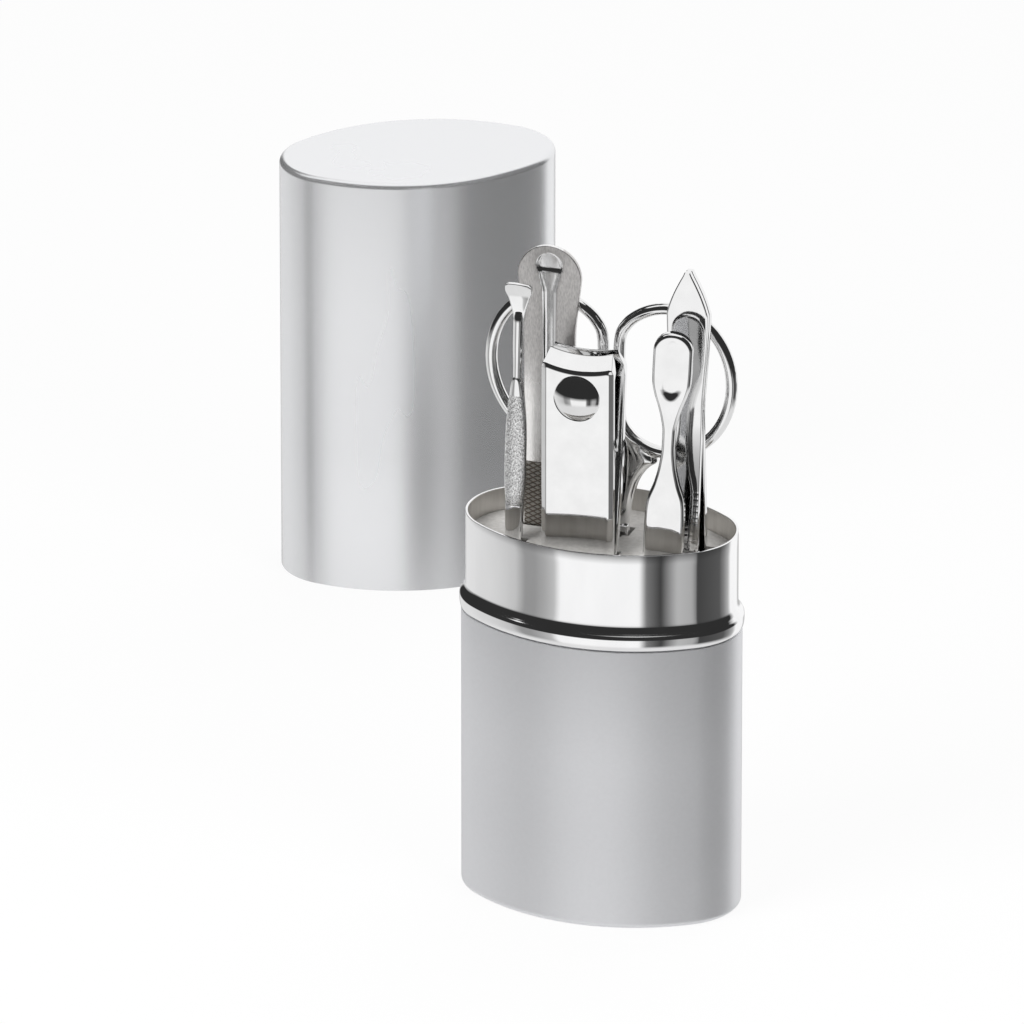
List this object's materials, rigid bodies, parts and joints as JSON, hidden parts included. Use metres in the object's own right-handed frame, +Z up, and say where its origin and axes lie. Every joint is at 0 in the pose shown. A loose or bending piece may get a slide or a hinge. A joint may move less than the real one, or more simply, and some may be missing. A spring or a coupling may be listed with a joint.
{
  "type": "manicure set case",
  "caption": "Oval satin metal case, open, with a nail clipper, scissors, nail file, cuticle pusher, cuticle trimmer and tweezers standing in its base; the lid stands beside it.",
  "frame": {"origin": "middle of the base's flat foot, on the floor", "axes": "+X along the oval's long axis to the right, as seen from the front where the clipper's domed head is; +Y to the back; +Z up. The lid stands on the same floor, behind and to the left of the base"},
  "size_m": [0.1169, 0.1499, 0.1091],
  "materials": {
    "shell": "satin",
    "collar": "polished",
    "insert": "matte",
    "file": "ground",
    "tool_steel": "polished"
  },
  "bodies": {
    "case": {"base_shell": "shell", "collar": "collar", "tool_holder": "insert", "lower_insert": "insert"},
    "lid": {"lid_shell": "shell"},
    "nail_file": {"nail_file": "file"},
    "cuticle_pusher": {"cuticle_pusher": "tool_steel"},
    "cuticle_trimmer": {"cuticle_trimmer": "tool_steel"},
    "tweezers": {"tweezers_front_arm": "tool_steel"},
    "tweezers_back": {"tweezers_back_arm": "tool_steel"},
    "clipper": {"clipper_front_arm": "tool_steel", "clipper_tail_rivet": "tool_steel"},
    "clipper_back": {"clipper_back_arm": "tool_steel"},
    "clipper_lever": {"clipper_post": "tool_steel", "clipper_lever": "tool_steel", "clipper_lever_pin": "tool_steel"},
    "scissors": {"scissors_right_half": "tool_steel", "scissors_screw": "tool_steel"},
    "scissors_left": {"scissors_left_half": "tool_steel"}
  },
  "joints": [
    {"name": "lid_slide", "type": "slide", "parent": "case", "child": "lid", "axis": [0, 0, 1], "range_m": [0, 0.0163]},
    {"name": "file_lift", "type": "slide", "parent": "case", "child": "nail_file", "axis": [0, 0, 1], "range_m": [0, 0.058]},
    {"name": "pusher_lift", "type": "slide", "parent": "case", "child": "cuticle_pusher", "axis": [0.022, 0, 0.9998], "range_m": [0, 0.056]},
    {"name": "trimmer_lift", "type": "slide", "parent": "case", "child": "cuticle_trimmer", "axis": [0.0449, 0.0063, 0.999], "range_m": [0, 0.052]},
    {"name": "tweezers_lift", "type": "slide", "parent": "case", "child": "tweezers", "axis": [0, 0, 1], "range_m": [0, 0.048]},
    {"name": "tweezers_squeeze", "type": "hinge", "parent": "tweezers", "child": "tweezers_back", "pos_m": [0.01419, 0.00114, 0.0851], "axis": [-1, 0, 0], "range_deg": [0, 2.5], "stiffness_Nm_per_rad": 1},
    {"name": "clipper_lift", "type": "slide", "parent": "case", "child": "clipper", "axis": [0, 0, 1], "range_m": [0, 0.022]},
    {"name": "clipper_squeeze", "type": "hinge", "parent": "clipper", "child": "clipper_back", "pos_m": [-0.002, -0.00485, 0.0473], "axis": [1, 0, 0], "range_deg": [0, 2.3], "stiffness_Nm_per_rad": 5},
    {"name": "lever_swivel", "type": "hinge", "parent": "clipper", "child": "clipper_lever", "pos_m": [-0.002, 0.0009, 0.08729], "axis": [0, 1, 0], "range_deg": [0, 180]},
    {"name": "scissors_lift", "type": "slide", "parent": "case", "child": "scissors", "axis": [0, 0, 1], "range_m": [0, 0.05]},
    {"name": "scissors_open", "type": "hinge", "parent": "scissors", "child": "scissors_left", "pos_m": [0, 0.00515, 0.054], "axis": [0, -1, 0], "range_deg": [0, 22]}
  ]
}
